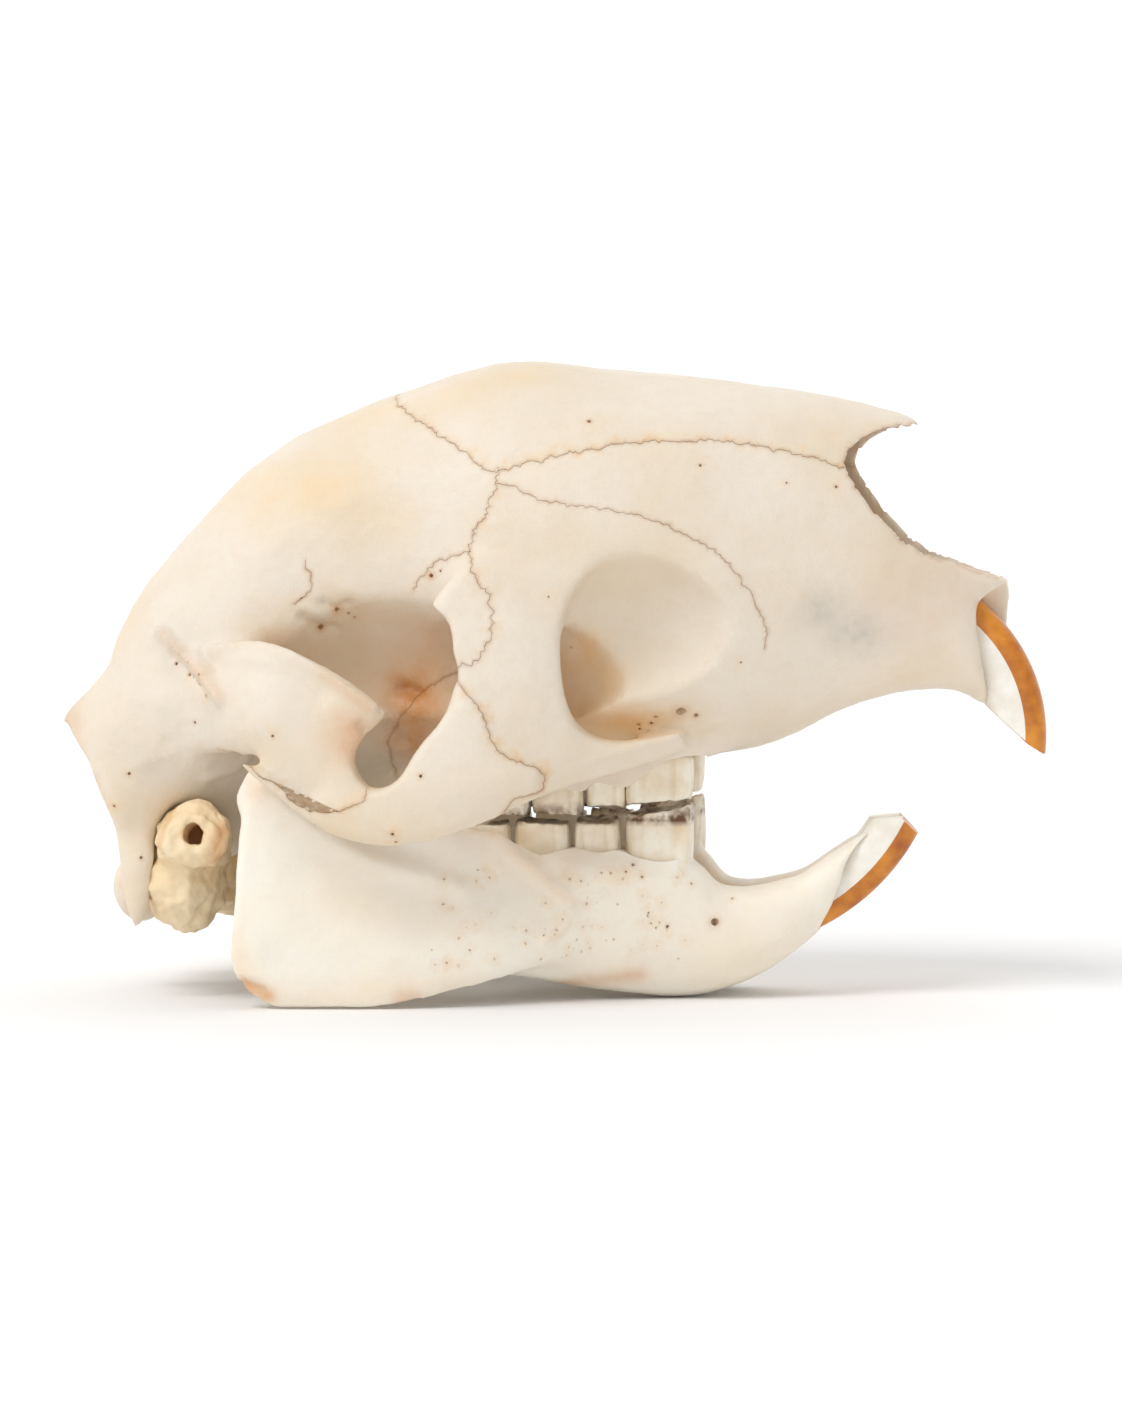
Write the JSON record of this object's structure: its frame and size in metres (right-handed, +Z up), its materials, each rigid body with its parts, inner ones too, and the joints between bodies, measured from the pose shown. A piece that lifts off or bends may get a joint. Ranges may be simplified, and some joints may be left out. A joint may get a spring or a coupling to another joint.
{
  "type": "crested porcupine skull",
  "caption": "Dried skull of a crested porcupine with its lower jaw: domed nose bones, small eye sockets, low cheek arches, orange gnawing teeth and ridged cheek teeth.",
  "frame": {"origin": "the middle of the skull's outer box at the level of the surface it rests on", "axes": "+X towards the snout, +Y towards the animal's left, +Z up"},
  "size_m": [0.1526, 0.076, 0.0976],
  "materials": {
    "skull_bone": "dry, cleaned bone, matt with a faint polish on the dome",
    "jaw_bone": "dry, cleaned bone, matt, finely pitted",
    "ear_bone": "dry, rough, yellow-stained bone",
    "enamel": "smooth orange enamel in front, white dentine behind"
  },
  "bodies": {
    "root": {"braincase": "skull_bone", "nasal_bones": "skull_bone", "upper_jaw": "skull_bone", "cheekbone_right": "skull_bone", "cheekbone_left": "skull_bone", "ear_bulla_right": "ear_bone", "ear_bulla_left": "ear_bone", "lower_jaw_right": "jaw_bone", "lower_jaw_left": "jaw_bone", "upper_incisor_right": "enamel", "upper_incisor_left": "enamel", "lower_incisor_right": "enamel", "lower_incisor_left": "enamel"}
  },
  "joints": []
}
